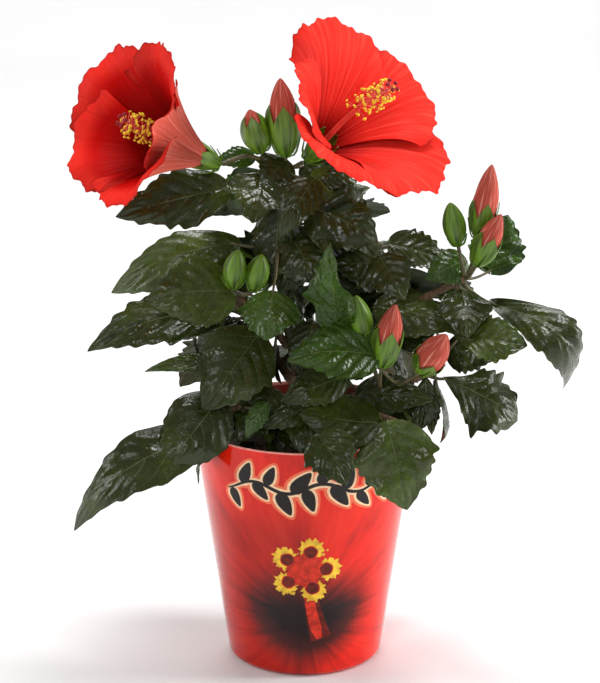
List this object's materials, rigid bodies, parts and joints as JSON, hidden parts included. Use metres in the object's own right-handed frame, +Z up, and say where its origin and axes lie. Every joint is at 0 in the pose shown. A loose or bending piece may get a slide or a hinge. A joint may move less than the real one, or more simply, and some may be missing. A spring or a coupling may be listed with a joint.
{
  "type": "potted hibiscus shrub",
  "caption": "Red-flowered hibiscus shrub with open funnel blooms, buds and glossy toothed leaves, growing in a tapered glossy red printed pot.",
  "frame": {"origin": "centre of the pot's flat underside", "axes": "+Z up along the pot's axis, -Y towards the front of the plant, +X to the right seen from the front"},
  "size_m": [0.3117, 0.2025, 0.4055],
  "materials": {
    "printed_pot": "glossy red plastic with a printed flower",
    "soil": "moist dark potting compost",
    "bark": "fine brown bark",
    "green_shoot": "young green bark",
    "leaves": "glossy dark green leaf with pale veins",
    "buds": "satin green calyx with red petal tips",
    "petals": "soft scarlet petal with fine radial veins"
  },
  "bodies": {
    "root": {"pot": "printed_pot", "soil": "soil", "stem": "bark", "leader": "green_shoot", "right_bough": "bark", "back_right_bough": "green_shoot", "low_right_bough": "bark", "low_front_bough": "bark", "low_left_bough": "bark", "left_bough": "bark", "back_bough": "bark", "back_left_bough": "bark", "left_bloom_stalk": "green_shoot", "right_bloom_stalk": "green_shoot", "left_bloom": "petals", "right_bloom": "petals", "top_buds": "buds", "left_buds": "buds", "right_buds": "buds", "front_buds": "buds", "upper_left_leaf": "leaves", "left_high_leaf": "leaves", "left_front_leaf": "leaves", "left_long_leaf": "leaves", "left_low_leaf": "leaves", "left_hanging_leaf": "leaves", "left_rim_leaf": "leaves", "lowest_left_leaf": "leaves", "centre_high_leaf": "leaves", "centre_long_leaf": "leaves", "upper_right_leaf": "leaves", "twisted_leaf": "leaves", "centre_front_leaf": "leaves", "glossy_front_leaf": "leaves", "lower_centre_leaf": "leaves", "pot_front_leaf": "leaves", "lower_right_leaf": "leaves", "right_back_leaf": "leaves", "young_right_leaf": "leaves", "right_hanging_leaf": "leaves", "right_wide_leaf": "leaves", "right_heart_leaf": "leaves", "right_front_leaf": "leaves", "far_right_leaf": "leaves", "right_fan_leaf": "leaves", "right_drooping_leaf": "leaves", "back_top_leaf": "leaves", "back_upper_left_leaf": "leaves", "back_upper_right_leaf": "leaves", "back_middle_left_leaf": "leaves", "back_middle_right_leaf": "leaves", "back_left_leaf": "leaves", "back_right_leaf": "leaves", "back_low_left_leaf": "leaves", "back_low_leaf": "leaves", "back_low_right_leaf": "leaves", "upper_mass": "leaves", "left_mass": "leaves", "right_mass": "leaves", "low_mass": "leaves"}
  },
  "joints": []
}
